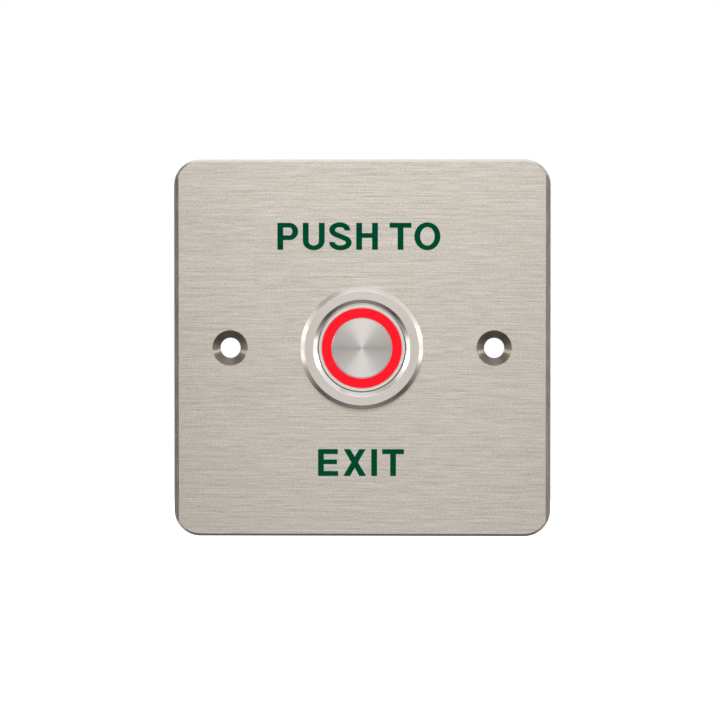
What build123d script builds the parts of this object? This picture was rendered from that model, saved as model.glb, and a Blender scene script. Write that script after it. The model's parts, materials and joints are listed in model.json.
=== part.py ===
from build123d import *
from math import cos, radians, sin, sqrt, tan
import os

# Door exit button: a square stainless wall plate that carries a 25 mm metal push button
# with a lit ring. Millimetres. +Z is up and the front faces -Y. The plate's back lies on
# Y = 0, so a depth is a Y value and grows towards the wall box. The button's axis is Y.

# Wall plate, cut from strip with bevelled sides
plate_size = 86.0
plate_thick = 2.0
corner_r = 6.0
side_bevel = 1.1
side_bevel_deep = 1.2
edge_break = 0.55
screw_spacing = 60.3
screw_hole = 4.6
screw_sink = 8.1

# Head and threaded barrel, turned in one piece
thread_dia = 25.0
barrel_length = 24.2
barrel_wall = 1.45
barrel_end_chamfer = 0.5
head_height = 2.2
head_lip = 1.5
head_bevel = 0.96
head_bevel_deep = 0.9
mouth_bevel = 1.12
ledge_deep = 5.4
bore_step = 0.35
panel_gap = 0.1

# Gasket under the head, lock washer and nut behind the plate
gasket_thick = 0.7
gasket_land = 0.55
washer_thick = 0.7
washer_width = 2.9
tooth_long = 0.9
tooth_wide = 1.5
tooth_count = 16
nut_wall = 2.5
nut_thick = 3.5
nut_face_inset = 0.2
nut_chamfer_angle = 20.0
thread_gap = 0.05

# Button: metal rim, lit ring and spun disc on a plastic plunger
travel = 2.5
button_sink = 0.6
rim_wall = 0.6
rim_chamfer = 0.12
flange_lip = 0.67
flange_thick = 0.95
ring_width = 2.37
collar_thick = 0.8
collar_inset = 0.2
disc_thick = 1.3
disc_chamfer = 0.12
web_thick = 1.0
stub_dia = 3.0
stub_deep = 1.5
plunger_head = 3.3
stem_corner_angle = 33.0
stem_wall = 1.1
stem_foot = 1.2
window_tall = 6.0
seal_wire = 0.95

# Springs. The return spring seats at this share of the plunger head's radius, and a contact
# spring fills this share of the window between the stem's walls.
return_spring_share = 0.679
contact_spring_share = 0.565
return_wire = 0.6
return_turns = 5
contact_wire = 0.3
contact_turns = 4
pip_tall = 0.6

# Lamp board
led_count = 6
led_wide = 2.0
led_deep = 1.25
led_height = 0.8
led_gap = 0.45
board_thick = 1.0
resistor_wide = 3.0
resistor_deep = 1.5
resistor_height = 0.55

# Contact housing and terminal base
board_pocket_wall = 1.2
well_deep = 3.4
guide_wall = 1.3
tail_inset = 0.8
tail_wall = 1.15
ring_wire = 1.0
ring_inset = 1.0
ring_open_angle = 40.0
finger_gap = 0.5
base_gap = 1.1
base_floor = 2.6
base_flange = 2.5
dish_deep = 1.0
dish_wall = 0.9
pocket_gap = 0.5
snap_wide = 4.0
snap_tall = 1.5
snap_out = 0.5
snap_inset = 2.0
snap_angle = 45.0

# Contacts and terminals, stamped from strip
contact_travel = 1.5
strip = 0.5
fold_r = 0.45
fold_relief = 0.2
blade_wide = 2.8
blade_out = 7.0
blade_chamfer = 0.7
solder_hole = 1.4
solder_inset = 2.2
leg_shoulder = 0.2
leg_offset = 2.1
leg_margin = 1.0
lamp_pin_wide = 1.2
contact_dia = 1.8
contact_head = 0.5
bridge_rivet_head = 0.4
bridge_thick = 0.6
bridge_corner = 0.9
contact_reach = 1.35

# Clearances
slide_gap = 0.08
rest_gap = 0.05
fit_gap = 0.05
guide_gap = 0.08
touch_gap = 0.02
spring_gap = 0.25
flange_gap = 0.1
stem_gap = 0.6

# Radii, worked inwards from the thread
thread_r = thread_dia / 2
panel_r = thread_r + panel_gap
head_r = thread_r + head_lip
seat_bore_r = thread_r - barrel_wall
flange_bore_r = seat_bore_r - bore_step
flange_r = flange_bore_r - flange_gap
bore_r = flange_r - flange_lip
rim_r = bore_r - slide_gap
rim_in_r = rim_r - rim_wall
ring_r = rim_in_r - fit_gap
ring_in_r = ring_r - ring_width
disc_r = ring_in_r - fit_gap
collar_r = flange_r - collar_inset
housing_r = seat_bore_r - fit_gap
board_pocket_r = housing_r - board_pocket_wall
board_r = board_pocket_r - flange_gap
tail_r = housing_r - tail_inset
chamber_r = tail_r - tail_wall
spigot_r = chamber_r - fit_gap
led_ring_r = (ring_in_r + ring_r) / 2
spring_r = disc_r * return_spring_share
well_r = spring_r + return_wire / 2 + spring_gap
board_in_r = well_r + flange_gap

# The stem's corners run just inside the return spring
stem_corner_r = spring_r - return_wire / 2 - spring_gap
stem_x = 2 * stem_corner_r * sin(radians(stem_corner_angle))
stem_z = 2 * stem_corner_r * cos(radians(stem_corner_angle))
window_z = stem_z - 2 * stem_wall
contact_spring_dia = window_z * contact_spring_share

# Depths of the head and the button
y_front = -plate_thick
y_head = y_front - head_height
y_mouth = y_head + head_bevel_deep
y_face = y_head + button_sink
y_ledge = y_head + ledge_deep
y_rear = y_head + barrel_length
y_flange = y_ledge + rest_gap
y_collar = y_flange + flange_thick
y_skirt = y_collar + collar_thick
y_web = y_face + disc_thick
y_web_back = y_web + web_thick
y_plunger_back = y_web_back + plunger_head

# Depths of the lamp board and the contacts
y_stop = y_skirt + travel + rest_gap
y_led = y_stop + led_gap
y_board = y_led + led_height
y_seat = y_board + board_thick
y_well = y_seat + well_deep
y_chamber = y_well + guide_wall
y_finger = y_chamber + finger_gap
y_contact = y_finger + strip + contact_head
y_bridge = y_contact + touch_gap + bridge_rivet_head
y_bridge_back = y_bridge + bridge_thick
y_back_contact = y_bridge_back + bridge_rivet_head + touch_gap + contact_travel
y_back_finger = y_back_contact + contact_head
y_spigot = y_back_finger + strip + base_gap

# The bridge floats in the stem's window, as far behind its middle at rest as in front when pressed
y_window_mid = (y_bridge + y_bridge_back) / 2 - (travel - contact_travel) / 2
y_window = y_window_mid - window_tall / 2
y_window_back = y_window_mid + window_tall / 2
y_stem_end = y_window_back + stem_foot
y_pocket = y_stem_end + travel + pocket_gap
y_base = y_pocket + base_floor
y_base_back = y_base + base_flange
y_tip = y_base_back + blade_out

# The housing is held in the barrel by a wire ring behind its shoulder
y_groove_back = y_rear - ring_inset
y_shoulder = y_groove_back - ring_wire - 2 * fit_gap
y_snap = y_base - snap_inset - snap_tall
snap_in_x = sqrt(spigot_r**2 - (snap_wide / 2 + flange_gap) ** 2) - flange_gap

# Terminal legs stand near the chamber's wall, and the contacts just inside them
leg_wide = blade_wide + 2 * leg_shoulder
leg_out_x = sqrt((chamber_r - leg_margin) ** 2 - (leg_offset + leg_wide / 2) ** 2)
leg_x = leg_out_x - strip
contact_x = leg_x - contact_reach
finger_end_x = contact_x - contact_dia / 2
bridge_wide = window_z - 2 * flange_gap
bridge_end_x = contact_x + contact_dia / 2 + flange_gap


def outline(*points):
    """A closed flat outline through its points."""
    return make_face(Polyline(*points, close=True))


def turned(*points):
    """A solid turned about the Y axis from its outline of (radius, depth) points."""
    return revolve(outline(*points), Axis.Y)


def slab(sketch, front, back):
    """A flat outline in X and Z, solid between two depths."""
    return extrude(Plane.XZ.offset(-back) * sketch, back - front)


def strip_blank(sketch, x_low, x_high):
    """A stamped outline drawn as (depth, Z), solid between two X planes."""
    return extrude(Plane.YZ.offset(x_low) * sketch, x_high - x_low)


def around(count, shape, first=0.0):
    """Copies of a shape evenly spaced about the Y axis."""
    return [Rot(0, first + 360 / count * i, 0) * shape for i in range(count)]


def coil(mean_r, wire, front, back, turns):
    """A coil spring about the Y axis, its end turns ground flat on its two seats."""
    length = back - front
    path = Helix(length / turns, length, mean_r, (0, front, 0), (0, 1, 0))
    start = Plane(path @ 0, z_dir=path % 0)
    wire_solid = sweep(start * Circle(wire / 2), path, is_frenet=True)
    return wire_solid & slab(Circle(mean_r + wire), front, back)


def face_plate():
    """Strip with bevelled sides, its corners rounded, with a panel hole and two sunk holes."""
    half = plate_size / 2
    bevel_back = y_front + side_bevel_deep
    section = outline(
        (-half, 0),
        (half, 0),
        (half, bevel_back),
        (half - side_bevel, y_front),
        (side_bevel - half, y_front),
        (-half, bevel_back),
    )
    strip_bar = extrude(section, half, both=True)
    blank = slab(RectangleRounded(plate_size, plate_size, corner_r), y_front, 0)
    blank = chamfer(blank.faces().sort_by(Axis.Y)[0].edges(), edge_break)
    plate = (strip_bar & blank) - slab(Circle(panel_r), y_front, 0)
    hole_r = screw_hole / 2
    sink_r = screw_sink / 2
    sink_deep = sink_r - hole_r
    sunk_hole = turned((0, 0), (hole_r, 0), (hole_r, y_front + sink_deep), (sink_r, y_front), (0, y_front))
    for side in (-1, 1):
        plate -= Pos(side * screw_spacing / 2, 0, 0) * sunk_hole
    return plate


def bezel_barrel():
    """Head with bevelled mouth, and the hollow barrel behind it with its ledge, seats and grooves."""
    gasket_r = head_r - gasket_land
    y_gasket = y_front - gasket_thick
    groove_r = seat_bore_r + ring_wire / 2
    seal_r = rim_r + slide_gap + seal_wire
    y_seal = y_mouth + (y_ledge - y_mouth - seal_wire) / 2
    return turned(
        (bore_r + mouth_bevel, y_head),
        (head_r - head_bevel, y_head),
        (head_r, y_mouth),
        (head_r, y_front),
        (gasket_r, y_front),
        (gasket_r, y_gasket),
        (thread_r, y_gasket),
        (thread_r, y_rear - barrel_end_chamfer),
        (thread_r - barrel_end_chamfer, y_rear),
        (seat_bore_r, y_rear),
        (seat_bore_r, y_groove_back),
        (groove_r, y_groove_back),
        (groove_r, y_shoulder),
        (seat_bore_r, y_shoulder),
        (seat_bore_r, y_stop),
        (flange_bore_r, y_stop),
        (flange_bore_r, y_ledge),
        (bore_r, y_ledge),
        (bore_r, y_seal + seal_wire),
        (seal_r, y_seal + seal_wire),
        (seal_r, y_seal),
        (bore_r, y_seal),
        (bore_r, y_mouth),
    )


def head_gasket():
    """Flat rubber ring in the groove under the head, flush with the plate."""
    outer = head_r - gasket_land - fit_gap
    y_gasket = y_front - gasket_thick
    return turned((panel_r, y_gasket), (outer, y_gasket), (outer, y_front), (panel_r, y_front))


def wiper_seal():
    """O-ring in the barrel's bore, round the button's rim."""
    y_mid = (y_mouth + y_ledge) / 2
    section = Pos(rim_r + slide_gap / 2 + seal_wire / 2, y_mid) * Circle(seal_wire / 2)
    return revolve(section, Axis.Y)


def lock_washer():
    """Washer with inner teeth that bite the plate's back."""
    root_r = panel_r + tooth_long
    ring = Circle(thread_r + washer_width) - Circle(root_r)
    tooth = Pos(panel_r + tooth_long / 2 + fit_gap, 0) * Rectangle(tooth_long, tooth_wide)
    for i in range(tooth_count):
        ring += Rot(0, 0, 360 / tooth_count * i) * tooth
    return slab(ring, 0, washer_thick)


def hex_nut():
    """Hexagon nut with its corners turned off on both faces."""
    front = washer_thick
    back = washer_thick + nut_thick
    flat_r = thread_r + nut_wall
    corner = flat_r / cos(radians(30)) + nut_face_inset
    face_r = flat_r - nut_face_inset
    rise = (corner - face_r) * tan(radians(nut_chamfer_angle))
    blank = slab(RegularPolygon(flat_r, 6, major_radius=False), front, back)
    envelope = turned(
        (0, front), (face_r, front), (corner, front + rise), (corner, back - rise), (face_r, back), (0, back)
    )
    return (blank & envelope) - slab(Circle(thread_r + thread_gap), front, back)


def button_rim():
    """Metal sleeve round the lit ring, with the flange that stops it under the barrel's ledge."""
    return turned(
        (rim_in_r, y_face),
        (rim_r - rim_chamfer, y_face),
        (rim_r, y_face + rim_chamfer),
        (rim_r, y_flange),
        (flange_r, y_flange),
        (flange_r, y_collar),
        (rim_in_r, y_collar),
    )


def light_ring():
    """Clear moulding: the lit ring, the web under the disc, and a skirt whose collar carries the rim."""
    stub_r = stub_dia / 2 + fit_gap
    return turned(
        (ring_in_r, y_face),
        (ring_r, y_face),
        (ring_r, y_collar),
        (collar_r, y_collar),
        (collar_r, y_skirt),
        (ring_in_r, y_skirt),
        (ring_in_r, y_web_back),
        (stub_r, y_web_back),
        (stub_r, y_web),
        (ring_in_r, y_web),
    )


def centre_disc():
    """Spun metal disc whose stub passes the web into the plunger."""
    stub_r = stub_dia / 2
    return turned(
        (0, y_face),
        (disc_r - disc_chamfer, y_face),
        (disc_r, y_face + disc_chamfer),
        (disc_r, y_web),
        (stub_r, y_web),
        (stub_r, y_web_back + stub_deep),
        (0, y_web_back + stub_deep),
    )


def plunger():
    """Round head under the web, and a flat-sided stem with a window for the contact bridge."""
    head = turned((0, y_web_back), (disc_r, y_web_back), (disc_r, y_plunger_back), (0, y_plunger_back))
    stem = slab(Rectangle(stem_x, stem_z), y_plunger_back, y_stem_end)
    window = slab(Rectangle(stem_x, window_z), y_window, y_window_back)
    stub_hole = slab(Circle(stub_dia / 2 + fit_gap), y_web_back, y_web_back + stub_deep + rest_gap)
    pip = Circle((contact_spring_dia - contact_wire) / 2 - fit_gap)
    front_pip = slab(pip, y_window, y_window + pip_tall)
    back_pip = slab(pip, y_window_back - pip_tall, y_window_back)
    return head + stem - window - stub_hole + front_pip + back_pip


def return_spring():
    """Spring round the stem, from the plunger's head to the floor of the housing's well."""
    return coil(spring_r, return_wire, y_plunger_back, y_well, return_turns)


def front_contact_spring():
    """Spring in front of the bridge, which closes the normally open pair."""
    return coil(contact_spring_dia / 2, contact_wire, y_window, y_bridge, contact_turns)


def rear_contact_spring():
    """Spring behind the bridge, which holds the normally closed pair shut."""
    return coil(contact_spring_dia / 2, contact_wire, y_bridge_back, y_window_back, contact_turns)


def contact_bridge():
    """Sprung bar that joins the common to one of the two other terminals."""
    bar = RectangleRounded(2 * bridge_end_x, bridge_wide, bridge_corner)
    return slab(bar, y_bridge, y_bridge_back)


def rivet_head(x, front, back):
    """A silver contact head at this X, between two depths."""
    return slab(Pos(x, 0) * Circle(contact_dia / 2), front, back)


def bridge_contacts():
    """Four silver heads, one on each face at each end of the bridge."""
    heads = []
    for x in (-contact_x, contact_x):
        heads.append(rivet_head(x, y_bridge - bridge_rivet_head, y_bridge))
        heads.append(rivet_head(x, y_bridge_back, y_bridge_back + bridge_rivet_head))
    return Compound(heads)


def fixed_contacts():
    """Four silver heads on the terminals' fingers, two in front of the bridge and two behind."""
    heads = []
    for x in (-contact_x, contact_x):
        heads.append(rivet_head(x, y_contact - contact_head, y_contact))
        heads.append(rivet_head(x, y_back_contact, y_back_contact + contact_head))
    return Compound(heads)


def blade(z_mid):
    """A terminal's outline from the base's inner face to its chamfered tip, with a solder hole."""
    half = blade_wide / 2
    shape = outline(
        (y_spigot, z_mid - half),
        (y_tip - blade_chamfer, z_mid - half),
        (y_tip, z_mid - half + blade_chamfer),
        (y_tip, z_mid + half - blade_chamfer),
        (y_tip - blade_chamfer, z_mid + half),
        (y_spigot, z_mid + half),
    )
    return shape - Pos(y_tip - solder_inset, z_mid) * Circle(solder_hole / 2)


def leg(z_mid, front):
    """The wider stretch of a terminal in front of the base, whose shoulders sit on the base."""
    return Pos((front + y_spigot) / 2, z_mid) * Rectangle(y_spigot - front, leg_wide)


def folded_edge(solid, front):
    """Rounds the outside of the fold between a leg and the finger at this depth."""
    fold = [
        e
        for e in solid.edges().filter_by(Axis.Z)
        if abs(e.center().X - leg_out_x) < fit_gap and abs(e.center().Y - front) < fit_gap
    ]
    return fillet(fold, fold_r)


def side_terminal(side, front):
    """A terminal right of the stem: a leg above or below the middle, and a finger past the middle."""
    blank = leg(side * leg_offset, front) + blade(side * leg_offset)
    solid = strip_blank(blank, leg_x, leg_out_x)
    outer_z = side * (leg_offset + leg_wide / 2)
    inner_z = side * (leg_offset - leg_wide / 2)
    past_z = -side * contact_dia / 2
    clear_x = leg_x - fold_relief
    finger = outline(
        (finger_end_x, past_z),
        (clear_x, past_z),
        (clear_x, inner_z),
        (leg_out_x, inner_z),
        (leg_out_x, outer_z),
        (finger_end_x, outer_z),
    )
    return folded_edge(solid + finger_solid(finger, front), front)


def finger_solid(shape, front):
    """A finger from its outline in X and Z, one strip thick."""
    return slab(shape, front, front + strip)


def normally_closed_terminal():
    """Its finger lies in front of the bridge."""
    return side_terminal(1, y_finger)


def normally_open_terminal():
    """Its finger lies behind the bridge."""
    return side_terminal(-1, y_back_finger)


def common_terminal():
    """A leg with one finger folded in front of the bridge and one lanced from it behind."""
    window_front = y_back_finger - (leg_x - finger_end_x)
    lance_wide = contact_dia
    blank = leg(0, y_finger) + blade(0)
    blank -= Pos((window_front + y_back_finger) / 2, 0) * Rectangle(y_back_finger - window_front, lance_wide)
    solid = strip_blank(blank, leg_x, leg_out_x)
    reach = leg_out_x - finger_end_x
    mid_x = (leg_out_x + finger_end_x) / 2
    solid += finger_solid(Pos(mid_x, 0) * Rectangle(reach, leg_wide), y_finger)
    solid += finger_solid(Pos(mid_x, 0) * Rectangle(reach, lance_wide), y_back_finger)
    return Rot(0, 180, 0) * folded_edge(solid, y_finger)


def lamp_terminal(turn):
    """A blade that narrows to a pin, which runs forward through the housing to the lamp board."""
    pin_front = y_board - rest_gap
    pin = Pos((pin_front + y_spigot) / 2, 0) * Rectangle(y_spigot - pin_front, lamp_pin_wide)
    return Rot(0, turn, 0) * strip_blank(pin + blade(0), leg_x, leg_out_x)


def lamp_slot(gap, front, back):
    """The two slots that the lamp pins pass through."""
    mid = (leg_x + leg_out_x) / 2
    slot = slab(Pos(mid, 0) * Rectangle(strip + 2 * gap, lamp_pin_wide + 2 * gap), front, back)
    return [Rot(0, turn, 0) * slot for turn in (-90, 90)]


def lamp_board():
    """Ring-shaped circuit board with slots for the two lamp pins."""
    board = slab(Circle(board_r) - Circle(board_in_r), y_board, y_seat)
    for slot in lamp_slot(fit_gap, y_board, y_seat):
        board -= slot
    return board


def leds():
    """Light-emitting chips in a ring under the lit ring's skirt."""
    chip = slab(Pos(led_ring_r, 0) * Rectangle(led_deep, led_wide), y_led, y_board)
    return Compound(around(led_count, chip))


def resistors():
    """Two ballast resistors between the light-emitting chips."""
    body = Pos(led_ring_r, 0) * Rectangle(resistor_deep, resistor_wide)
    return Compound(around(2, slab(body, y_board - resistor_height, y_board), 180 / led_count))


def contact_housing():
    """Insulator in the barrel: board pocket, spring well, stem guide and contact chamber."""
    body = turned(
        (board_pocket_r, y_stop),
        (housing_r, y_stop),
        (housing_r, y_shoulder),
        (tail_r, y_shoulder),
        (tail_r, y_base),
        (chamber_r, y_base),
        (chamber_r, y_chamber),
        (0, y_chamber),
        (0, y_well),
        (well_r, y_well),
        (well_r, y_seat),
        (board_pocket_r, y_seat),
    )
    guide = Rectangle(stem_x + 2 * guide_gap, stem_z + 2 * guide_gap)
    body -= slab(guide, y_well, y_chamber)
    for slot in lamp_slot(fit_gap, y_seat, y_chamber):
        body -= slot
    opening = Rectangle(housing_r + flange_gap - snap_in_x, snap_wide + 2 * flange_gap)
    opening = Pos((housing_r + flange_gap + snap_in_x) / 2, 0) * opening
    window = slab(opening, y_snap - flange_gap, y_snap + snap_tall + flange_gap)
    for copy in around(2, window, snap_angle):
        body -= copy
    return body


def terminal_base():
    """Rear insulator: a spigot with the terminals' slots, snap lugs, and a dished back."""
    body = turned(
        (0, y_spigot),
        (spigot_r, y_spigot),
        (spigot_r, y_base),
        (tail_r, y_base),
        (tail_r, y_base_back),
        (tail_r - dish_wall, y_base_back),
        (tail_r - dish_wall, y_base_back - dish_deep),
        (0, y_base_back - dish_deep),
    )
    pocket = Rectangle(stem_x + 2 * stem_gap, stem_z + 2 * stem_gap)
    body -= slab(pocket, y_spigot, y_pocket)
    mid = (leg_x + leg_out_x) / 2
    slot = Rectangle(strip + 2 * fit_gap, blade_wide + 2 * fit_gap)
    for side in (-1, 1):
        body -= slab(Pos(mid, side * leg_offset) * slot, y_spigot, y_base_back)
    for turn in (-90, 90, 180):
        body -= Rot(0, turn, 0) * slab(Pos(mid, 0) * slot, y_spigot, y_base_back)
    lug = outline(
        (snap_in_x, y_snap),
        (spigot_r, y_snap),
        (spigot_r + snap_out, y_snap + snap_tall),
        (snap_in_x, y_snap + snap_tall),
    )
    for copy in around(2, extrude(lug, snap_wide / 2, both=True), snap_angle):
        body += copy
    return body


def retaining_ring():
    """Open wire ring in the barrel's groove, behind the housing's shoulder."""
    y_mid = y_groove_back - ring_wire / 2 - fit_gap
    section = Pos(seat_bore_r, y_mid) * Circle(ring_wire / 2 - fit_gap / 2)
    ring = revolve(section, Axis.Y, revolution_arc=360 - ring_open_angle)
    return Rot(0, ring_open_angle / 2, 0) * ring


pieces = {
    "face_plate": face_plate(),
    "bezel_barrel": bezel_barrel(),
    "head_gasket": head_gasket(),
    "wiper_seal": wiper_seal(),
    "lock_washer": lock_washer(),
    "hex_nut": hex_nut(),
    "button_rim": button_rim(),
    "light_ring": light_ring(),
    "centre_disc": centre_disc(),
    "plunger": plunger(),
    "return_spring": return_spring(),
    "front_contact_spring": front_contact_spring(),
    "rear_contact_spring": rear_contact_spring(),
    "contact_bridge": contact_bridge(),
    "bridge_contacts": bridge_contacts(),
    "fixed_contacts": fixed_contacts(),
    "common_terminal": common_terminal(),
    "normally_closed_terminal": normally_closed_terminal(),
    "normally_open_terminal": normally_open_terminal(),
    "lamp_plus_terminal": lamp_terminal(-90),
    "lamp_minus_terminal": lamp_terminal(90),
    "lamp_board": lamp_board(),
    "leds": leds(),
    "resistors": resistors(),
    "contact_housing": contact_housing(),
    "terminal_base": terminal_base(),
    "retaining_ring": retaining_ring(),
}

os.makedirs("parts", exist_ok=True)
for name, piece in pieces.items():
    export_step(piece, f"parts/{name}.step")
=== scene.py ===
import json
from math import cos, hypot, pi, radians, sin

import bmesh
import bpy
import numpy as np
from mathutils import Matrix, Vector

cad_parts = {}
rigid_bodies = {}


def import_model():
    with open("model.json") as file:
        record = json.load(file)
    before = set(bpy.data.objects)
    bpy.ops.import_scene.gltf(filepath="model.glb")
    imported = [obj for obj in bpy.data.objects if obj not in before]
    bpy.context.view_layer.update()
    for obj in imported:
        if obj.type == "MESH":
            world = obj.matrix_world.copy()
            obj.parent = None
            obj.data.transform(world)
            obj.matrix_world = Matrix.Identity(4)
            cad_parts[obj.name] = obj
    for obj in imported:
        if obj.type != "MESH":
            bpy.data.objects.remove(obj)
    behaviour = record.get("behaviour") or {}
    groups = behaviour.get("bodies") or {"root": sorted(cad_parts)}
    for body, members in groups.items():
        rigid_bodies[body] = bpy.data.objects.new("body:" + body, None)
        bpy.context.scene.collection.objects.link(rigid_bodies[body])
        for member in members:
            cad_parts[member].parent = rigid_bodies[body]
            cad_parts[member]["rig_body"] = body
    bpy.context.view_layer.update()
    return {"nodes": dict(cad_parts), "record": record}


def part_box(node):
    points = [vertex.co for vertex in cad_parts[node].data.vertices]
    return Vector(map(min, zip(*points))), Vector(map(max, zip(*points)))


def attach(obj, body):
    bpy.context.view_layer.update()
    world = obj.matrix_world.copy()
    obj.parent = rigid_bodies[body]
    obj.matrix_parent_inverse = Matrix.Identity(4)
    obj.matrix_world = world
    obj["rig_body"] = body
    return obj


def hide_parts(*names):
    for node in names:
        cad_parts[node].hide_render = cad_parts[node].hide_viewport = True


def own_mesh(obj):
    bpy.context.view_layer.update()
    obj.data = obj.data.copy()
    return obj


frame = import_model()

# Door exit button: a brushed stainless wall plate, a turned bezel with a ring-lit push button,
# a printed legend, and the switch behind them. Lengths are millimetres on the object, and metres for
# the lights, cards, floor and camera. +Z is up, the front faces -Y, the button's axis is Y and the
# plate's back lies on Y = 0.

MM = 0.001


def box_mm(node):
    """A frame node's lowest and highest corner, in millimetres."""
    low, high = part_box(node)
    return np.array(low) / MM, np.array(high) / MM


# Places read from the frame
plate_front = box_mm("face_plate")[0][1]
bezel_low, bezel_high = box_mm("bezel_barrel")
rim_low, rim_high = box_mm("button_rim")
lens_low, lens_high = box_mm("light_ring")
disc_high = box_mm("centre_disc")[1]
spring_low, spring_high = box_mm("return_spring")

# Bezel and barrel, as turned
head_r = bezel_high[0]
head_front = bezel_low[1]
barrel_back = bezel_high[1]
head_bevel = 0.96
head_bevel_deep = 0.9
mouth_bevel = 1.12
mouth_r = 9.93
thread_r = 12.5
thread_pitch = 1.0
thread_deep = 0.6
thread_start = 0.5
barrel_chamfer = 0.5
gasket_r = 13.45
gasket_thick = 0.7
gasket_front = plate_front - gasket_thick
ledge_back = 1.2
flange_bore_r = 10.7
seat_bore_r = 11.05
seat_front = 5.55
wire_groove_r = 11.55
wire_groove = (17.9, 19.0)
seal_groove_r = 10.88
seal_groove = (-1.525, -0.575)
turned_edge = 0.03

# Button's front pieces
rim_r = 9.85
rim_in_r = 9.25
rim_chamfer = 0.05
lens_r = 9.2
lens_in_r = 6.83
disc_r = disc_high[0]
disc_chamfer = 0.05
web_back = -1.3
web_thick = 1.0
stub_r = 1.5
flange_front = 1.25
fit_gap = 0.05
moulded_edge = 0.04
spun_edge = 0.05
chip_count = 6

# Plate's bevelled sides and sunk screw holes
side_bevel = 1.1
side_bevel_deep = 1.2
bevel_lean = side_bevel_deep / hypot(side_bevel, side_bevel_deep)
screw_x = 30.15
screw_sink_r = 4.05

# Springs
return_wire = 0.6
return_turns = 6.5
contact_wire = 0.3
contact_turns = 5

# Printed legend: capitals of a plain sans, with upright strokes wider than level ones
letter_tall = 6.15
stem = 1.33
bar = 1.08
end_bar = bar * 1.05
letter_gap = 1.05
wide_gap = letter_gap * 1.1
close_gap = letter_gap * 0.62
word_gap = 2.65
ink_thick = 0.03
upper_line = 22.4
upper_left = -19.32
lower_line = -29.25
lower_left = -10.05
overshoot = 0.1


def grid_faces(rows, columns, close_rows=True):
    """Four-sided faces of a grid of points. Each row of points closes into a ring, and the last row
    meets the first one unless told otherwise."""
    i, j = np.meshgrid(np.arange(rows - (not close_rows)), np.arange(columns), indexing="ij")
    ahead = (i + 1) % rows
    beside = (j + 1) % columns
    corners = [i * columns + j, i * columns + beside, ahead * columns + beside, ahead * columns + j]
    return np.stack(corners, -1).reshape(-1, 4).tolist()


def mesh_points(mesh):
    """A mesh's points, in its own units."""
    points = np.zeros(len(mesh.vertices) * 3)
    mesh.vertices.foreach_get("co", points)
    return points.reshape(-1, 3)


def mesh_faces(mesh):
    """The point numbers of each of a mesh's faces."""
    return [list(face.vertices) for face in mesh.polygons]


def make_piece(name, points, faces, weld=1e-4, smooth=True):
    """A piece from points in millimetres. Points nearer than the weld are merged, and its faces are
    turned outwards."""
    mesh = bpy.data.meshes.new(name)
    mesh.from_pydata((points * MM).tolist(), [], faces)
    shell = bmesh.new()
    shell.from_mesh(mesh)
    bmesh.ops.remove_doubles(shell, verts=shell.verts, dist=weld * MM)
    bmesh.ops.recalc_face_normals(shell, faces=shell.faces)
    shell.to_mesh(mesh)
    shell.free()
    if smooth:
        mesh.shade_smooth()
    piece = bpy.data.objects.new(name, mesh)
    bpy.context.scene.collection.objects.link(piece)
    return piece


def rounded(corners, radius):
    """A closed outline with each corner P replaced by P + (1-s)^2 a + s^2 b, where a and b run along
    its two sides. One more point beyond each end keeps the flats flat."""
    largest_share = 0.3
    beyond = 1.4
    curve_points = 5
    p = np.array(corners, float)
    sides = []
    for step in (1, -1):
        side = np.roll(p, step, 0) - p
        length = np.hypot(side[:, 0], side[:, 1])
        cut = np.minimum(radius, largest_share * length)
        sides.append((side * (cut / length)[:, None])[:, None])
    a, b = sides
    s = np.linspace(0, 1, curve_points)[None, :, None]
    curve = p[:, None] + (1 - s) ** 2 * a + s**2 * b
    return np.concatenate([p[:, None] + beyond * a, curve, p[:, None] + beyond * b], 1).reshape(-1, 2)


def lathe(name, outline, turns=160, shrink=None):
    """The outline's (r, y) carried round the Y axis: x = r sin a, z = r cos a. shrink(r, y, a) may
    change the radius."""
    a = np.linspace(0, 2 * pi, turns, endpoint=False)[:, None]
    r = np.broadcast_to(outline[None, :, 0], (turns, len(outline)))
    y = np.broadcast_to(outline[None, :, 1], (turns, len(outline)))
    if shrink is not None:
        r = shrink(r, y, a)
    points = np.stack([r * np.sin(a), y, r * np.cos(a)], -1).reshape(-1, 3)
    return make_piece(name, points, grid_faces(turns, len(outline)))


def thread(r, y, a):
    """Cuts a helical thread into the barrel's outside: a rounded groove whose phase is y / pitch minus
    a / 2 pi, from behind the plate to the end chamfer."""
    wave = 0.5 - 0.5 * np.cos(2 * pi * (y / thread_pitch - a / (2 * pi)))
    start = np.clip((y - thread_start) / thread_pitch, 0, 1)
    chamfer = np.clip(y - (barrel_back - barrel_chamfer), 0, None)
    cut = np.minimum(thread_r - thread_deep * start * wave, thread_r - chamfer)
    return np.where(np.isclose(r, thread_r) & (y > thread_start), cut, r)


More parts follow.
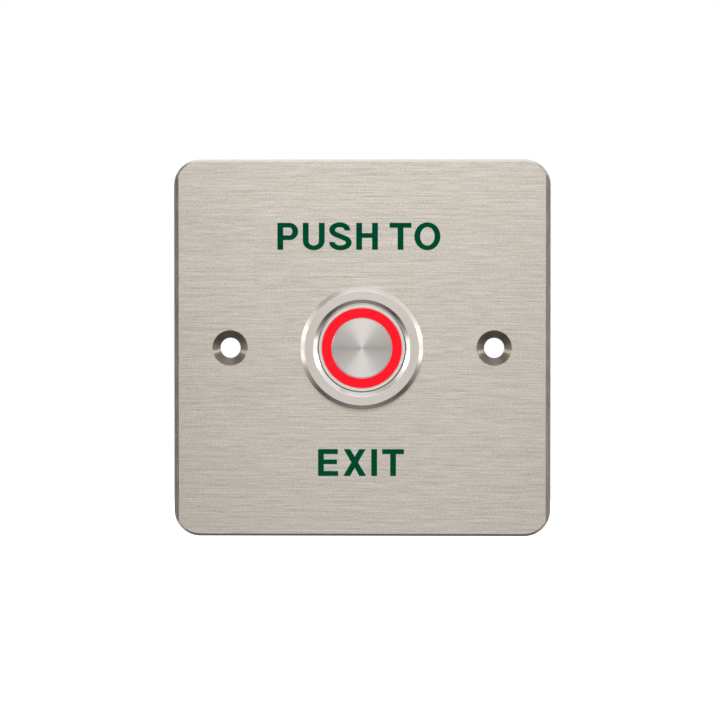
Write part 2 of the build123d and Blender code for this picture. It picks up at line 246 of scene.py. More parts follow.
def bezel_outline():
    """The bezel's closed (radius, depth) outline, with close points along its threaded stretch."""
    mouth = head_front + head_bevel_deep
    front = rounded(
        [
            (mouth_r, ledge_back),
            (mouth_r, seal_groove[1]),
            (seal_groove_r, seal_groove[1]),
            (seal_groove_r, seal_groove[0]),
            (mouth_r, seal_groove[0]),
            (mouth_r, mouth),
            (mouth_r + mouth_bevel, head_front),
            (head_r - head_bevel, head_front),
            (head_r, mouth),
            (head_r, plate_front),
            (gasket_r, plate_front),
            (gasket_r, gasket_front),
            (thread_r, gasket_front),
            (thread_r, barrel_back),
            (seat_bore_r, barrel_back),
            (seat_bore_r, wire_groove[1]),
            (wire_groove_r, wire_groove[1]),
            (wire_groove_r, wire_groove[0]),
            (seat_bore_r, wire_groove[0]),
            (seat_bore_r, seat_front),
            (flange_bore_r, seat_front),
            (flange_bore_r, ledge_back),
        ],
        turned_edge,
    )
    side = np.hypot(*(np.roll(front, -1, 0) - front).T)
    k = int(np.argmax(side * (front[:, 0] >= thread_r)))
    points_a_pitch = 12
    count = int((barrel_back - gasket_front) / thread_pitch * points_a_pitch)
    y = np.linspace(front[k, 1], front[k + 1, 1], count)[1:-1]
    return np.insert(front, k + 1, np.stack([np.full_like(y, thread_r), y], 1), axis=0)


def coil(name, mean_r, wire, front, back, turns):
    """A round wire of changing depth round the Y axis: its end turns lie flat and its ends close to
    points. Between those turns its depth grows evenly with the angle."""
    steps_a_turn = 40
    sides = 16
    flat_turn = 0.75
    steps = int(turns * steps_a_turn)
    t = np.linspace(0, 1, steps)
    flat = flat_turn / turns
    rise = np.clip((t - flat) / (1 - 2 * flat), 0, 1)
    depth = front + wire / 2 + (back - front - wire) * rise
    angle = 2 * pi * turns * t
    around = np.linspace(0, 2 * pi, sides, endpoint=False)
    thick = np.where((t == 0) | (t == 1), 0, wire / 2)[:, None]
    r = mean_r + thick * np.cos(around)
    y = depth[:, None] + thick * np.sin(around)
    points = np.stack([r * np.sin(angle)[:, None], y, r * np.cos(angle)[:, None]], -1)
    return make_piece(name, points.reshape(-1, 3), grid_faces(steps, sides, close_rows=False))


def arc(centre, radii, start, end, count=24):
    """Points of an ellipse's arc, its angles in degrees from the right."""
    a = np.radians(np.linspace(start, end, count))
    return np.stack([centre[0] + radii[0] * np.cos(a), centre[1] + radii[1] * np.sin(a)], 1)


def letter_p(w):
    """A stem and a bowl with its counter."""
    bowl = 0.32 * letter_tall
    centre = (w - bowl, letter_tall - bowl)
    outer = np.concatenate([[(0, 0), (0, letter_tall)], arc(centre, (bowl, bowl), 90, -90),
                            [(stem, letter_tall - 2 * bowl), (stem, 0)]])
    inner = np.concatenate([[(stem, letter_tall - bar)], arc(centre, (bowl - stem, bowl - bar), 90, -90),
                            [(stem, letter_tall - 2 * bowl + bar)]])
    return [outer, inner]


def letter_u(w):
    """Two stems joined by a round foot."""
    foot = 0.34 * letter_tall
    outer = arc((w / 2, foot - overshoot), (w / 2, foot), 180, 360)
    inner = arc((w / 2, foot - overshoot), (w / 2 - stem, foot - bar), 360, 180)
    ends = [(w, letter_tall), (w - stem, letter_tall)]
    return [np.concatenate([[(0, letter_tall)], outer, ends, inner, [(stem, letter_tall)]])]


def letter_s(w):
    """A stroke along the arcs of two ellipses joined by a slanting line, thinner where it is level and a
    little fuller than the straight strokes."""
    turn = 34
    upper_end = -5
    lower_end = -187
    points = 40
    fuller = 1.03
    half_stem = 0.49 * stem
    half_bar = bar / 2
    tall = letter_tall + 2 * overshoot - bar
    ry = tall / (2 + 2 / cos(radians(turn)))
    top_x = 0.467 * w
    top = (top_x, letter_tall + overshoot - half_bar - ry)
    low = (w / 2, half_bar - overshoot + ry)
    line = np.concatenate([arc(top, (top_x - half_stem, ry), upper_end, 270 - turn, points),
                           arc(low, (w / 2 - half_stem, ry), 90 - turn, lower_end, points)])
    along = np.gradient(line, axis=0)
    along /= np.hypot(along[:, 0], along[:, 1])[:, None]
    side = np.stack([-along[:, 1] * half_stem, along[:, 0] * half_bar], 1) * fuller
    return [np.concatenate([line + side, (line - side)[::-1]])]


def letter_o(w):
    """An ellipse with its counter."""
    centre = (w / 2, letter_tall / 2)
    tall = letter_tall / 2 + overshoot
    points = 73
    thin_bar = bar * 0.98
    outer = arc(centre, (w / 2, tall), 0, 360, points)[:-1]
    inner = arc(centre, (w / 2 - stem, tall - thin_bar), 0, 360, points)[:-1]
    return [outer, inner]


def letter_h(w):
    """Two stems and a bar."""
    low = letter_tall * 0.53 - bar / 2
    high = low + bar
    t = letter_tall
    return [np.array([(0, 0), (stem, 0), (stem, low), (w - stem, low), (w - stem, 0), (w, 0), (w, t),
                      (w - stem, t), (w - stem, high), (stem, high), (stem, t), (0, t)])]


def letter_t(w):
    """A stem under a bar."""
    left = (w - stem) / 2
    right = left + stem
    t = letter_tall
    high = t - end_bar
    return [np.array([(left, 0), (right, 0), (right, high), (w, high), (w, t), (0, t), (0, high),
                      (left, high)])]


def letter_e(w):
    """A stem and three bars, the foot the longest and the middle one the shortest."""
    t = letter_tall
    low = t * 0.525 - bar / 2
    high = low + bar
    middle_w = w * 0.94
    top_w = w * 0.985
    top = t - end_bar
    return [np.array([(0, 0), (w, 0), (w, end_bar), (stem, end_bar), (stem, low), (middle_w, low),
                      (middle_w, high), (stem, high), (stem, top), (top_w, top), (top_w, t), (0, t)])]


def letter_x(w):
    """Two crossing strokes, set in a little at the top."""
    t = letter_tall
    arm = stem * 1.16
    waist = arm / 2
    mid_x = w / 2
    mid = t * 0.51
    fork = waist * t / (w - arm)
    inset = 0.1
    top_arm = arm + inset / 2
    return [np.array([(0, 0), (arm, 0), (mid_x, mid - fork), (w - arm, 0), (w, 0), (mid_x + waist, mid),
                      (w - inset, t), (w - top_arm, t), (mid_x, mid + fork), (top_arm, t), (inset, t),
                      (mid_x - waist, mid)])]


def letter_i(w):
    """A stem."""
    return [np.array([(0, 0), (w, 0), (w, letter_tall), (0, letter_tall)])]


def legend(name, left, line, letters):
    """Letters set in a row from the left end: flat closed outlines, filled with their counters left
    open, as thick as the ink. Each letter is (shape, width, space after)."""
    curve = bpy.data.curves.new(name, "CURVE")
    curve.dimensions = "2D"
    curve.fill_mode = "BOTH"
    curve.extrude = ink_thick / 2
    pen = left
    for shape, width, space in letters:
        for outline in shape(width):
            spline = curve.splines.new("POLY")
            spline.points.add(len(outline) - 1)
            corners = np.zeros((len(outline), 4))
            corners[:, 0] = outline[:, 0] + pen
            corners[:, 1] = outline[:, 1] + line
            corners[:, 3] = 1
            spline.points.foreach_set("co", corners.ravel())
            spline.use_cyclic_u = True
        pen += width + space
    holder = bpy.data.objects.new(name, curve)
    filled = bpy.data.meshes.new_from_object(holder)
    bpy.data.objects.remove(holder)
    bpy.data.curves.remove(curve)
    flat = mesh_points(filled)
    faces = mesh_faces(filled)
    bpy.data.meshes.remove(filled)
    points = np.stack([flat[:, 0], plate_front - ink_thick / 2 - flat[:, 2], flat[:, 1]], 1)
    return make_piece(name, points, faces, weld=1e-3, smooth=False)


def srgb(code):
    """A colour written as #RRGGBB in sRGB, turned to linear, with an alpha of 1."""
    values = [int(code[i : i + 2], 16) / 255 for i in (1, 3, 5)]
    return [v / 12.92 if v <= 0.04045 else ((v + 0.055) / 1.055) ** 2.4 for v in values] + [1.0]


def join(tree, node, inputs):
    """Links each input that is given a socket, and sets each that is given a value."""
    for key, value in inputs.items():
        if isinstance(value, bpy.types.NodeSocket):
            tree.links.new(value, node.inputs[key])
        else:
            node.inputs[key].default_value = value


def add(tree, kind, inputs, output=0, **settings):
    """Adds a node with its settings, sets or links its inputs, and returns one of its outputs."""
    node = tree.nodes.new("ShaderNode" + kind)
    for key, value in settings.items():
        setattr(node, key, value)
    join(tree, node, inputs)
    return node.outputs[output]


def finish(name):
    """A new material and its node tree."""
    material = bpy.data.materials.new(name)
    material.use_nodes = True
    return material, material.node_tree


def shade(tree, **inputs):
    """Sets or links the surface shader's inputs. An underscore in a name stands for a space."""
    join(tree, tree.nodes["Principled BSDF"], {key.replace("_", " "): value for key, value in inputs.items()})


def place(tree):
    """Each point's place on the object, in metres."""
    return add(tree, "TexCoord", {}, output=3)


def spots(tree, size, detail=3.0, roughness=0.55):
    """Noise from 0 to 1 with spots about this many millimetres along X, Y and Z."""
    scaled = add(tree, "Mapping", {"Vector": place(tree), "Scale": [1 / (s * MM) for s in size]})
    return add(tree, "TexNoise", {"Vector": scaled, "Scale": 1.0, "Detail": detail, "Roughness": roughness})


def off_axis(tree):
    """Each point's distance from the Y axis, in metres."""
    flat = add(tree, "VectorMath", {0: place(tree), 1: (1, 0, 1)}, operation="MULTIPLY")
    return add(tree, "VectorMath", {0: flat}, output=1, operation="LENGTH")


def grooves(tree, radius, spacing, detail):
    """Noise from 0 to 1 that changes with a radius only, as the marks of turning and drilling do, with
    about this many millimetres from mark to mark."""
    inputs = {"W": radius, "Scale": 1 / (spacing * MM), "Detail": detail}
    return add(tree, "TexNoise", inputs, noise_dimensions="1D")


def spread(tree, value, low, high, keep=0.25):
    """Stretches the middle of a noise value over a range."""
    return add(tree, "MapRange", {"Value": value, 1: 0.5 - keep, 2: 0.5 + keep, 3: low, 4: high})


def tone(tree, value, dark, light):
    """A colour between two, by a value from 0 to 1."""
    return add(tree, "Mix", {0: value, 6: srgb(dark), 7: srgb(light)}, output=2, data_type="RGBA")


def turned_direction(tree):
    """The direction that a turning tool's marks run at each point: round the Y axis."""
    return add(tree, "VectorMath", {0: (0, 1, 0), 1: place(tree)}, operation="CROSS_PRODUCT")


def brushed_stainless():
    """Stainless strip brushed with a belt along X: thin scratches a few millimetres long give fine
    level lines, and gloss spreads up and down across them."""
    material, tree = finish("belt_brushed_stainless")
    short = spots(tree, (6, 0.28, 0.28), 1)
    long = spots(tree, (22, 0.28, 0.28), 1)
    grain = spots(tree, (0.36, 0.34, 0.34), 1)
    lines = add(tree, "Mix", {0: 0.42, 2: short, 3: long}, data_type="FLOAT")
    marks = add(tree, "Mix", {0: 0.38, 2: lines, 3: grain}, data_type="FLOAT")
    metal = tone(tree, spread(tree, marks, 0, 1, 0.2), "#A79F96", "#DBD5CE")
    cast = tone(tree, spread(tree, spots(tree, (0.9, 0.5, 0.5), 1), 0, 1), "#FFF5F2", "#F4FFF6")
    metal = add(tree, "Mix", {0: 0.5, 6: metal, 7: cast}, output=2, data_type="RGBA", blend_type="MULTIPLY")
    level = add(tree, "CombineXYZ", {"X": 1.0})
    shade(
        tree,
        Base_Color=metal,
        Metallic=1.0,
        Roughness=spread(tree, lines, 0.27, 0.35),
        Anisotropic=0.75,
        Anisotropic_Rotation=0.25,
        Tangent=level,
        Normal=add(tree, "Bump", {"Height": lines, "Strength": 0.35, "Distance": 0.004 * MM}),
    )
    return material


def ground_edge():
    """The same strip's ground sides and side bevels: marks along the edge, a shade darker and greyer than
    the brushed face."""
    material, tree = finish("ground_stainless_edge")
    marks = spots(tree, (0.2, 0.2, 5), 3)
    shade(
        tree,
        Base_Color=tone(tree, spread(tree, marks, 0, 1), "#A49D9B", "#C1BAB6"),
        Metallic=1.0,
        Roughness=spread(tree, marks, 0.22, 0.3),
        Normal=add(tree, "Bump", {"Height": marks, "Strength": 0.3, "Distance": 0.004 * MM}),
    )
    return material


def sunk_hole():
    """Countersinks cut with a drill, with rings round each hole whose gloss spreads in and out across them.
    Their warm colour is much darker than the plate's metal: painted shade of the recess."""
    material, tree = finish("drilled_stainless_painted_shade")
    axes = add(tree, "SeparateXYZ", {0: place(tree)}).node.outputs
    side = add(tree, "Math", {0: axes[0]}, operation="SIGN")
    middle = add(tree, "Math", {0: side, 1: screw_x * MM}, operation="MULTIPLY")
    across = add(tree, "Math", {0: axes[0], 1: middle}, operation="SUBTRACT")
    outwards = add(tree, "CombineXYZ", {0: across, 2: axes[2]})
    radius = add(tree, "VectorMath", {0: outwards}, output=1, operation="LENGTH")
    rings = grooves(tree, radius, 0.25, 2.0)
    shade(
        tree,
        # Painted shade: this metal is much darker than the plate's, standing in for the dark of the recess.
        Base_Color=tone(tree, spread(tree, rings, 0, 1), "#807970", "#918A81"),
        Metallic=1.0,
        Roughness=spread(tree, rings, 0.3, 0.4),
        Anisotropic=0.85,
        Anisotropic_Rotation=0.25,
        Tangent=add(tree, "VectorMath", {0: (0, 1, 0), 1: outwards}, operation="CROSS_PRODUCT"),
    )
    return material


def broken_edge():
    """The strip's front edge, broken with a fine file and buffed: brighter than the brushed face."""
    material, tree = finish("buffed_stainless_edge")
    marks = spots(tree, (2, 0.3, 0.3), 2)
    shade(
        tree,
        Base_Color=tone(tree, spread(tree, marks, 0, 1), "#DAD7CE", "#EAE8E0"),
        Metallic=1.0,
        Roughness=spread(tree, marks, 0.16, 0.24),
    )
    return material


def turned_metal(name, dark, light, rough, anisotropy, spacing=0.16):
    """Stainless bar turned on a lathe: rings round the axis, closer in the real thing than these, which
    are as coarse as they need to be to show."""
    material, tree = finish(name)
    rings = grooves(tree, off_axis(tree), spacing, 4.0)
    grit = spots(tree, (0.3, 0.3, 0.3), 3)
    marks = add(tree, "Mix", {0: 0.4, 2: rings, 3: grit}, data_type="FLOAT")
    shade(
        tree,
        Base_Color=tone(tree, spread(tree, marks, 0, 1), dark, light),
        Metallic=1.0,
        Roughness=spread(tree, marks, rough - 0.03, rough + 0.03),
        Anisotropic=anisotropy,
        Anisotropic_Rotation=0.25,
        Tangent=turned_direction(tree),
        Normal=add(tree, "Bump", {"Height": marks, "Strength": 0.2, "Distance": 0.002 * MM}),
    )
    return material


def lit_lens():
    """Red polycarbonate lit from behind: an even glow from its front face, a little stronger over each
    of six chips, between two thin pale edges that the light doesn't reach."""
    material, tree = finish("lit_red_polycarbonate")
    axes = add(tree, "SeparateXYZ", {0: place(tree)}).node.outputs
    middle = (lens_r + lens_in_r) / 2
    half_wide = (lens_r - lens_in_r) / 2
    fade_start = (half_wide - 0.09) * MM
    fade_end = (half_wide - 0.06) * MM
    off_middle = add(tree, "Math", {0: off_axis(tree), 1: middle * MM}, operation="SUBTRACT")
    off_middle = add(tree, "Math", {0: off_middle}, operation="ABSOLUTE")
    edge = add(tree, "MapRange", {"Value": off_middle, 1: fade_start, 2: fade_end})
    angle = add(tree, "Math", {0: axes[0], 1: axes[2]}, operation="ARCTAN2")
    angle = add(tree, "Math", {0: angle, 1: chip_count}, operation="MULTIPLY")
    wave = add(tree, "Math", {0: angle}, operation="COSINE")
    glow = add(tree, "MapRange", {"Value": wave, 1: -1.0, 2: 1.0, 3: 0.35, 4: 0.8})
    haze = add(tree, "Mix", {0: 0.3, 2: glow, 3: spots(tree, (2, 2, 2), 2)}, data_type="FLOAT")
    skin = 0.1
    front = add(tree, "Math", {0: axes[1], 1: (lens_low[1] + skin) * MM}, operation="LESS_THAN")
    glowing = add(tree, "MapRange", {"Value": front, 3: 0.1, 4: 1.0})
    shade(
        tree,
        Base_Color=tone(tree, edge, "#7A0C14", "#DCE0DC"),
        Roughness=0.35,
        IOR=1.58,
        Specular_IOR_Level=0.1,
        Emission_Color=tone(tree, haze, "#EE0418", "#FA0A22"),
        Emission_Strength=add(tree, "Math", {0: glowing, 1: edge}, operation="SUBTRACT", use_clamp=True),
    )
    return material


def soft_rubber():
    """Moulded nitrile rubber: matt black with a faint bloom."""
    material, tree = finish("nitrile_rubber")
    bloom = spots(tree, (0.6, 0.6, 0.6), 3)
    shade(tree, Base_Color=tone(tree, bloom, "#151515", "#232322"), Roughness=spread(tree, bloom, 0.5, 0.68))
    return material


def drawn_steel():
    """Spring steel, drawn or stamped and oiled: grey with a soft gloss."""
    material, tree = finish("oiled_spring_steel")
    marks = spots(tree, (0.25, 0.25, 0.25), 3)
    shade(
        tree,
        Base_Color=tone(tree, spread(tree, marks, 0, 1), "#8F8D89", "#B4B1AB"),
        Metallic=1.0,
        Roughness=spread(tree, marks, 0.24, 0.38),
    )
    return material


def white_acetal():
    """Acetal, moulded white: slippery, faintly glossy, a little light passing in at thin edges."""
    material, tree = finish("white_acetal")
    flow = spots(tree, (1.5, 1.5, 1.5), 2)
    shade(
        tree,
        Base_Color=tone(tree, flow, "#E4E1D8", "#EFEDE6"),
        Roughness=spread(tree, flow, 0.3, 0.4),
        IOR=1.48,
        Subsurface_Weight=0.15,
        Subsurface_Scale=0.4 * MM,
    )
    return material


def contact_metal(name, dark, light, rough, tarnish=1.2):
    """Bare or plated contact metal: bright, with cloudy tarnish."""
    material, tree = finish(name)
    cloud = spots(tree, (tarnish, tarnish, tarnish), 4)
    scratch = spots(tree, (0.15, 1.5, 0.15), 3)
    marks = add(tree, "Mix", {0: 0.25, 2: cloud, 3: scratch}, data_type="FLOAT")
    shade(
        tree,
        Base_Color=tone(tree, spread(tree, marks, 0, 1), dark, light),
        Metallic=1.0,
        Roughness=spread(tree, marks, rough, rough + 0.12),
        Normal=add(tree, "Bump", {"Height": cloud, "Strength": 0.2, "Distance": 0.003 * MM}),
    )
    return material


def green_board():
    """Glass epoxy board under green mask: the weave shows through as a fine check."""
    material, tree = finish("green_masked_board")
    weave = spots(tree, (0.4, 0.4, 0.4), 1)
    shade(
        tree,
        Base_Color=tone(tree, spread(tree, weave, 0, 1), "#12472A", "#1F6B3E"),
        Roughness=0.3,
        Coat_Weight=0.4,
        Coat_Roughness=0.15,
    )
    return material


def led_chip():
    """Light-emitting chips: cream resin that glows red."""
    material, tree = finish("cream_chip_resin")
    resin = spots(tree, (0.4, 0.4, 0.4), 2)
    shade(
        tree,
        Base_Color=tone(tree, resin, "#EDE4C8", "#F7F0DA"),
        Roughness=0.35,
        Emission_Color=srgb("#FF1828"),
        Emission_Strength=1.0,
    )
    return material


def resistor_body():
    """Chip resistors: black glaze over white ceramic, speckled at the edges."""
    material, tree = finish("black_glazed_ceramic")
    speckle = spots(tree, (0.2, 0.2, 0.2), 3)
    shade(tree, Base_Color=tone(tree, spread(tree, speckle, 0, 1), "#121212", "#2A2A2B"), Roughness=0.32)
    return material


def black_polyamide():
    """Glass-filled polyamide, moulded black: a satin skin with a fine spark texture."""
    material, tree = finish("black_glass_filled_polyamide")
    skin = spots(tree, (0.18, 0.18, 0.18), 3)
    flow = spots(tree, (4, 4, 4), 2)
    shade(
        tree,
        Base_Color=tone(tree, flow, "#1A1A1C", "#262628"),
        Roughness=spread(tree, skin, 0.42, 0.58),
        IOR=1.53,
        Normal=add(tree, "Bump", {"Height": skin, "Strength": 0.35, "Distance": 0.02 * MM}),
    )
    return material


def printed_ink():
    """Green screen ink, baked on: an even dark green, slightly rough, with the brushing faint in it."""
    material, tree = finish("green_screen_ink")
    lines = spots(tree, (3.5, 0.32, 0.32), 3)
    shade(
        tree,
        Base_Color=tone(tree, spread(tree, lines, 0, 1), "#00482D", "#00573B"),
        Roughness=0.6,
        Specular_IOR_Level=0.0,
        Normal=add(tree, "Bump", {"Height": lines, "Strength": 0.2, "Distance": 0.003 * MM}),
    )
    return material


slot_finish = {
    "brushed_stainless": brushed_stainless(),
    "turned_stainless": turned_metal("satin_turned_stainless", "#D7CEC7", "#E1D8D1", 0.34, 0.15),
    "spun_stainless": turned_metal("spun_stainless", "#C8C3C0", "#D7D3CF", 0.3, 0.9),
    "lit_red_lens": lit_lens(),
    "black_rubber": soft_rubber(),
    "spring_steel": drawn_steel(),
    "white_acetal": white_acetal(),
    "contact_copper": contact_metal("bare_copper", "#B46B4A", "#D58C66", 0.25),
    "contact_silver": contact_metal("fine_silver", "#CFCCC4", "#ECEAE4", 0.2),
    "plated_brass": contact_metal("nickel_plated_brass", "#B9AC8C", "#D3C8AA", 0.22),
    "green_board": green_board(),
    "led_chip": led_chip(),
    "resistor_body": resistor_body(),
    "black_polyamide": black_polyamide(),
}
polished_bevel = turned_metal("polished_turned_stainless", "#DBD8D4", "#E8E6E2", 0.22, 0.3, 0.1)
faced_rim = turned_metal("faced_turned_stainless", "#E7E1DB", "#EEE9E3", 0.34, 0.1, 0.1)
slot_of = {part["node"]: part["material_slot"] for part in frame["record"]["subparts"]}
body_of = {node: piece["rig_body"] for node, piece in frame["nodes"].items()}


def paint(piece, *finishes):
    """Gives a piece its materials, in place of those it had."""
    piece.data.materials.clear()
    for material in finishes:
        piece.data.materials.append(material)


def stand_for(piece, node, *finishes):
    """A new piece takes a frame node's place, body and slot."""
    paint(piece, *(finishes or [slot_finish[slot_of[node]]]))
    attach(piece, body_of[node])
    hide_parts(node)
    return piece


def face_data(mesh):
    """Centres in millimetres and normals of a mesh's faces."""
    centre = np.zeros(len(mesh.polygons) * 3)
    normal = np.zeros(len(mesh.polygons) * 3)
    mesh.polygons.foreach_get("center", centre)
    mesh.polygons.foreach_get("normal", normal)
    return centre.reshape(-1, 3) / MM, normal.reshape(-1, 3)


def dress_frame_nodes():
    """Every frame node takes the finish of its slot."""
    for node, piece in frame["nodes"].items():
        paint(piece, slot_finish[slot_of[node]])


def merged_copy(node, name):
    """A frame node's triangles again as one smooth skin, sharp at its edges over 20 degrees."""
    mesh = frame["nodes"][node].data
    sharp_angle = 20
    piece = make_piece(name, mesh_points(mesh) / MM, mesh_faces(mesh))
    piece.data.set_sharp_from_angle(angle=radians(sharp_angle))
    return piece


def build_plate():
    """The plate's faces are brushed, its sides and side bevels ground, its front edge buffed and its
    countersinks drilled and darkened with painted shade. Each face's finish follows from its place and the
    way that it faces."""
    finishes = (slot_finish["brushed_stainless"], ground_edge(), sunk_hole(), broken_edge())
    facing_out = 0.95
    edgewise = 0.1
    lean_margin = 0.02
    plate = merged_copy("face_plate", "plate_finished")
    stand_for(plate, "face_plate", *finishes)
    centre, normal = face_data(plate.data)
    from_hole = np.hypot(abs(centre[:, 0]) - screw_x, centre[:, 2])
    hole = from_hole < screw_sink_r
    flat = abs(normal[:, 1]) > facing_out
    bevel = abs(abs(normal[:, 0]) - bevel_lean) < lean_margin
    side = (abs(normal[:, 1]) < edgewise) | bevel
    kind = np.select([flat, hole, side], [0, 2, 1], 3)
    plate.data.polygons.foreach_set("material_index", kind.astype(np.int32))


def build_bezel():
    """Turned bezel with a satin face between polished bevels, and its threaded barrel."""
    bezel = lathe("bezel_turned", bezel_outline(), shrink=thread)
    stand_for(bezel, "bezel_barrel", slot_finish["turned_stainless"], polished_bevel)
    centre, normal = face_data(bezel.data)
    facing_front = -0.98
    skin = 0.1
    satin = (normal[:, 1] < facing_front) & (centre[:, 1] < head_front + skin)
    bezel.data.polygons.foreach_set("material_index", (~satin).astype(np.int32))


def build_button():
    """The rim, the lit lens with its web and skirt, and the spun disc, all flush at the face."""
    face = rim_low[1]
    rim = [(rim_in_r, face), (rim_r - rim_chamfer, face), (rim_r, face + rim_chamfer), (rim_r, flange_front),
           (rim_high[0], flange_front), (rim_high[0], rim_high[1]), (rim_in_r, rim_high[1])]
    stand_for(lathe("rim_turned", rounded(rim, turned_edge)), "button_rim", faced_rim)
    collar_front = rim_high[1]
    web_front = web_back - web_thick
    hole_r = stub_r + fit_gap
    lens = [(lens_in_r, face), (lens_r, face), (lens_r, collar_front), (lens_high[0], collar_front),
            (lens_high[0], lens_high[1]), (lens_in_r, lens_high[1]), (lens_in_r, web_back),
            (hole_r, web_back), (hole_r, web_front), (lens_in_r, web_front)]
    stand_for(lathe("lens_moulded", rounded(lens, moulded_edge)), "light_ring")
    disc = [(0, face), (disc_r - disc_chamfer, face), (disc_r, face + disc_chamfer), (disc_r, web_front),
            (stub_r, web_front), (stub_r, disc_high[1]), (0, disc_high[1])]
    edges = np.array([0] + [spun_edge] * (len(disc) - 2) + [0])
    stand_for(lathe("disc_spun", rounded(disc, edges)), "centre_disc")


def build_springs():
    """Coils in place of the three springs, the return spring and the front contact spring each with a mesh of
    its own. In the real switch these two shorten with the button, the front contact spring by as much as the
    button gains on the bridge."""
    front = spring_low[1]
    back = spring_high[1]
    mean_r = spring_high[0] - return_wire / 2
    spring = stand_for(coil("return_coil", mean_r, return_wire, front, back, return_turns), "return_spring")
    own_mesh(spring)
    for node in ("front_contact_spring", "rear_contact_spring"):
        low, high = box_mm(node)
        mean_r = high[0] - contact_wire / 2
        spring = coil(node.replace("spring", "coil"), mean_r, contact_wire, low[1], high[1], contact_turns)
        stand_for(spring, node)
        if node == "front_contact_spring":
            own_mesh(spring)


def build_legend():
    """Two lines of green capitals above and below the button."""
    upper = [(letter_p, 4.75, letter_gap), (letter_u, 5.0, letter_gap), (letter_s, 5.1, letter_gap),
             (letter_h, 4.95, word_gap), (letter_t, 5.0, close_gap), (letter_o, 5.95, 0)]
    lower = [(letter_e, 4.6, wide_gap), (letter_x, 5.25, wide_gap), (letter_i, stem, wide_gap),
             (letter_t, 5.0, 0)]
    ink = printed_ink()
    for name, left, line, letters in (("legend_upper", upper_left, upper_line, upper),
                                      ("legend_lower", lower_left, lower_line, lower)):
        words = legend(name, left, line, letters)
        paint(words, ink)
        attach(words, body_of["face_plate"])


def softbox(name, place_m, size, radiance, colour="#FFFFFF"):
    """A rectangular lamp at a place in metres, facing the object, as bright as its radiance says."""
    lamp = bpy.data.lights.new(name, "AREA")
    lamp.shape = "RECTANGLE"
    lamp.size, lamp.size_y = size
    lamp.energy = pi * size[0] * size[1] * radiance
    lamp.color = srgb(colour)[:3]
    holder = bpy.data.objects.new(name, lamp)
    holder.location = place_m
    holder.rotation_euler = (-Vector(place_m)).to_track_quat("-Z", "Y").to_euler()
    holder.visible_camera = False
    bpy.context.scene.collection.objects.link(holder)


def sheet(name, corners):
    """A flat four-cornered piece of the stage, in metres, with a matt material to finish."""
    mesh = bpy.data.meshes.new(name)
    mesh.from_pydata(corners, [], [(0, 1, 2, 3)])
    piece = bpy.data.objects.new(name, mesh)
    bpy.context.scene.collection.objects.link(piece)
    material, tree = finish(name + "_paper")
    mesh.materials.append(material)
    return piece, tree


def card(name, corners, tones, axis=0):
    """A card that only reflections see. Its tone changes with the distance from the middle plane, X = 0
    or, with an axis of 2, Z = 0, through the tones given, each as metres and a colour."""
    piece, tree = sheet(name, corners)
    piece.visible_camera = False
    piece.visible_shadow = False
    piece.visible_diffuse = False
    reach = max(tones)
    axes = add(tree, "SeparateXYZ", {0: place(tree)}).node.outputs
    away = add(tree, "Math", {0: axes[axis]}, operation="ABSOLUTE")
    away = add(tree, "Math", {0: away, 1: reach}, operation="DIVIDE")
    glow = add(tree, "ValToRGB", {0: away})
    ramp = glow.node.color_ramp
    ramp.interpolation = "EASE"
    for i, (metres, colour) in enumerate(sorted(tones.items())):
        stop = ramp.elements[i] if i < 2 else ramp.elements.new(metres / reach)
        stop.position = metres / reach
        stop.color = srgb(colour)
    shade(tree, Base_Color=srgb("#000000"), Specular_IOR_Level=0.0, Emission_Color=glow,
          Emission_Strength=1.0)


def seen_rays(tree):
    """1 for rays from the camera, a mirror or glass, and 0 for the rest."""
    rays = add(tree, "LightPath", {}).node.outputs
    seen = add(tree, "Math", {0: rays["Is Camera Ray"], 1: rays["Is Glossy Ray"]}, operation="MAXIMUM")
    return add(tree, "Math", {0: seen, 1: rays["Is Transmission Ray"]}, operation="MAXIMUM")


def build_floor():
    """A pale floor well below the object. Light falls on it near the object, which leaves its shadow
    there, and further out it fades to white."""
    level = -0.3
    reach = 4.0
    near = 0.3
    far = 1.0
    near_glow = 0.42
    corners = [(-reach, -reach, level), (reach, -reach, level), (reach, reach, level), (-reach, reach, level)]
    tree = sheet("floor", corners)[1]
    away = add(tree, "VectorMath", {0: place(tree), 1: (0, 0, level)}, output=1, operation="DISTANCE")
    fade = add(tree, "MapRange", {"Value": away, 1: near, 2: far, 3: near_glow, 4: 1.0},
               interpolation_type="SMOOTHSTEP")
    glow = add(tree, "Math", {0: seen_rays(tree), 1: fade}, operation="MULTIPLY")
    shade(tree, Base_Color=srgb("#EFEFEF"), Roughness=1.0, Specular_IOR_Level=0.0,
          Emission_Color=srgb("#FFFFFF"), Emission_Strength=glow)


def build_world():
    """White for what is seen directly or in a mirror, and a softer even light for the rest."""
    world = bpy.data.worlds.new("studio")
    world.use_nodes = True
    bpy.context.scene.world = world
    tree = world.node_tree
    tree.nodes.clear()
    soft = add(tree, "Background", {"Color": srgb("#FFFFFF"), "Strength": 0.5})
    white = add(tree, "Background", {"Color": srgb("#FFFFFF"), "Strength": 1.0})
    mixed = add(tree, "MixShader", {0: seen_rays(tree), 1: soft, 2: white})
    tree.links.new(mixed, tree.nodes.new("ShaderNodeOutputWorld").inputs["Surface"])


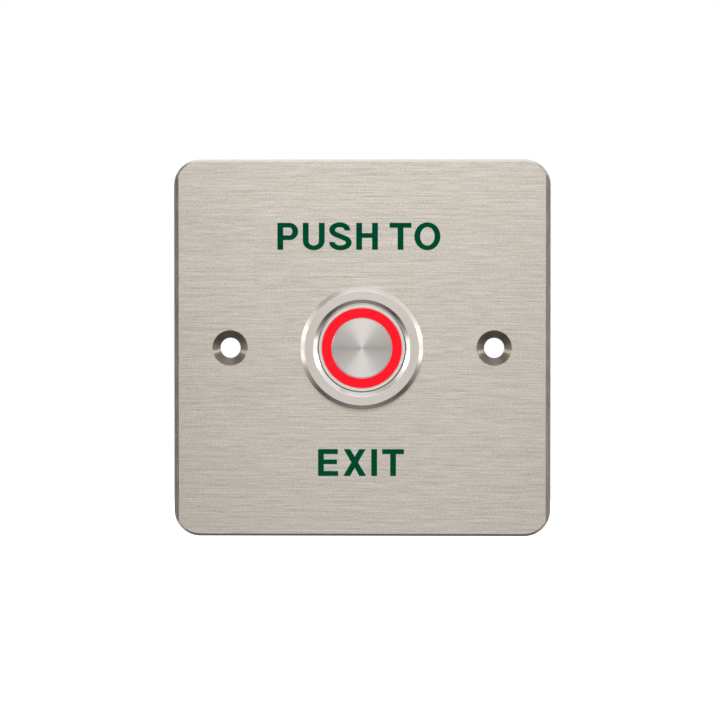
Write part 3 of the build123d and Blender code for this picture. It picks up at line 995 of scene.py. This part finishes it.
def build_lights():
    """A softbox on each side with a small lamp in front of it and above, a softbox above the camera and
    one overhead. Cards give the metal something darker to reflect: two below, two beside the camera, two
    behind the object's sides, one high on the left, one on top, and one off each upper corner."""
    softbox("softbox_above", (0.0, -0.78, 0.42), (0.5, 0.25), 2.5)
    softbox("softbox_overhead", (0.0, -0.44, 0.9), (0.6, 0.12), 2.6, "#F4F8FF")
    low = -0.26
    split = 0.004
    card("low_front_card", [(-1.1, -0.9, low), (1.1, -0.9, low), (1.1, split, low), (-1.1, split, low)],
         {0.0: "#928F8F", 0.26: "#4C4A4E", 0.45: "#969494", 1.1: "#E8E8E6"})
    card("low_back_card", [(-1.1, split, low), (1.1, split, low), (1.1, 1.0, low), (-1.1, 1.0, low)],
         {0.0: "#5E5858", 0.1: "#6A6462", 0.28: "#B8B0A8", 1.1: "#E8E8E6"})
    card("high_card", [(-0.86, -0.5, 0.73), (-0.46, -0.5, 1.03), (-0.46, 0.5, 1.03), (-0.86, 0.5, 0.73)],
         {0.4: "#CCCAC8", 0.9: "#C8C6C4"})
    card("top_card", [(-0.5, -0.38, 0.95), (0.5, -0.38, 0.95), (0.5, -0.15, 0.95), (-0.5, -0.15, 0.95)],
         {0.0: "#D2D2D2", 0.5: "#C8C8C8"})
    tall = 0.34
    side_tones = {0.0: "#0C090B", 0.075: "#0C090B", 0.13: "#ACA8A8", 0.2: "#F0EEEC", tall: "#FAFAF8"}
    edge_reach = 1.2
    edge_tones = {0.0: "#6C6866", edge_reach: "#6C6866"}
    for side, corner_tone in ((-1, "#827D7A"), (1, "#BEB8B0")):
        number = side + 1
        softbox(f"softbox_{number}", (side * 0.88, -0.13, 0.0), (0.26, 0.6), 0.2, "#FFFDF8")
        softbox(f"lamp_{number}", (side * 0.95, -0.36, 0.24), (0.16, 0.22), 20.0, "#FFF5E4")
        near = side * 0.14 - 0.01
        far = side * 0.58
        card(f"side_card_{number}", [(near, -0.95, -tall), (far, -0.85, -tall), (far, -0.85, tall),
                                     (near, -0.95, tall)], side_tones, axis=2)
        edge = side * edge_reach
        card(f"edge_card_{number}", [(edge, 0.05, -0.6), (edge, 1.0, -0.6), (edge, 1.0, 0.6),
                                     (edge, 0.05, 0.6)], edge_tones)
        inner = side * 0.38
        outer = side * 0.95
        card(f"corner_card_{number}", [(inner, -0.02, 0.9), (outer, -0.02, 0.25), (outer, 0.5, 0.25),
                                       (inner, 0.5, 0.9)],
             {0.4: "#E4E2DE", 0.62: corner_tone, 1.0: corner_tone})


def build_camera():
    """A long lens nearly square to the plate, framed as the photograph is."""
    frame_width = 0.16434
    distance = 0.8
    azimuth = radians(1.5)
    elevation = radians(1.5)
    aim = Vector((-0.00046, plate_front * MM, -0.00274))
    camera = bpy.data.cameras.new("camera")
    camera.sensor_width = 36.0
    camera.lens = camera.sensor_width * distance / frame_width
    holder = bpy.data.objects.new("camera", camera)
    back = Vector((sin(azimuth) * cos(elevation), -cos(azimuth) * cos(elevation), sin(elevation)))
    holder.location = aim + back * distance
    holder.rotation_euler = (-back).to_track_quat("-Z", "Y").to_euler()
    bpy.context.scene.collection.objects.link(holder)
    bpy.context.scene.camera = holder


dress_frame_nodes()
build_plate()
build_bezel()
build_button()
build_springs()
build_legend()
build_floor()
build_world()
build_lights()
build_camera()
bpy.context.scene.view_settings.view_transform = "Standard"
